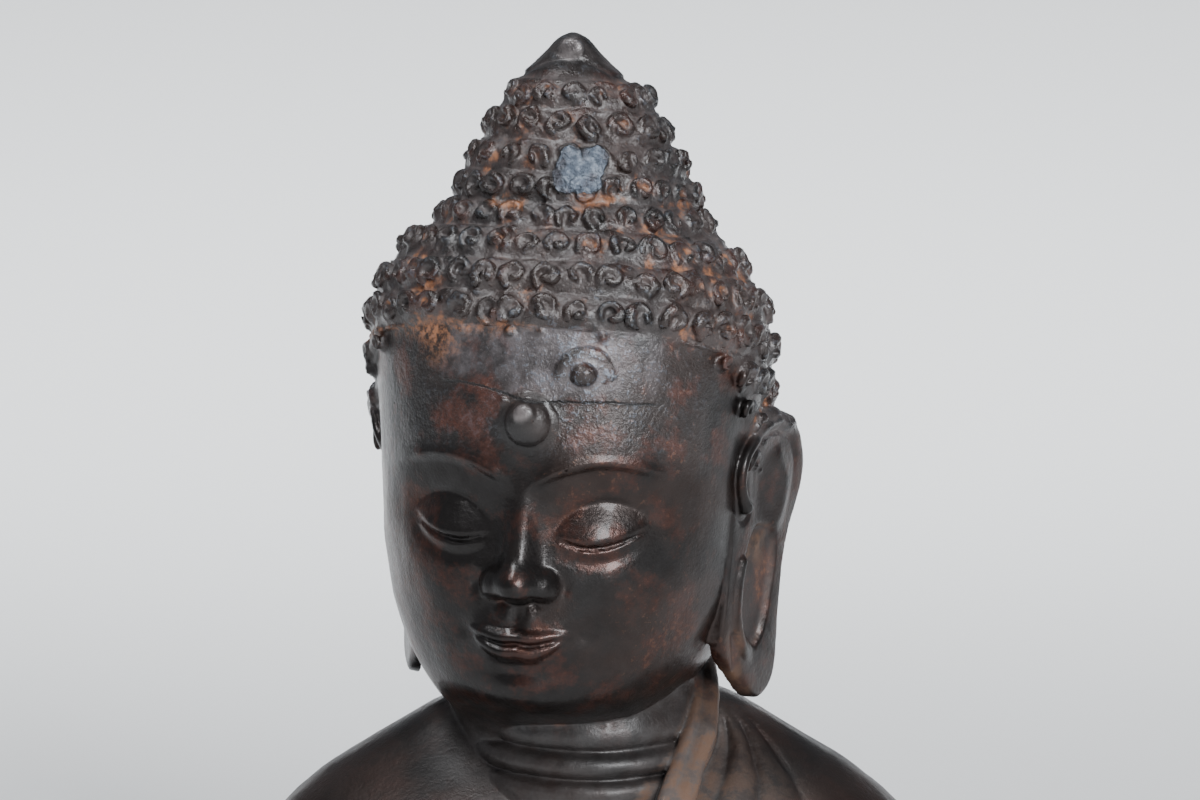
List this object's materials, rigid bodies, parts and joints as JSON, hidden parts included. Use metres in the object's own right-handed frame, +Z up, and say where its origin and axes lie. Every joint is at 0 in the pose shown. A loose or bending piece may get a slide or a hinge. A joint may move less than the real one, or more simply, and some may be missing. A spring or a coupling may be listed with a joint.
{
  "type": "buddha head bust",
  "caption": "Head and shoulders of a Buddha in dark cast bronze: curled hair in tiers with a bell-shaped finial, long ears, a robe over one shoulder, cut flat below.",
  "frame": {"origin": "on the flat cut underside, below the middle of the neck", "axes": "+Z up from the cut face, chest towards -Y, the robed left shoulder towards +X"},
  "size_m": [0.1205, 0.0673, 0.1488],
  "materials": {
    "dark_bronze": "glossy dark brown lacquered patina, worn, with orange-brown deposits in the hollows"
  },
  "bodies": {
    "root": {"bust": "dark_bronze"}
  },
  "joints": []
}
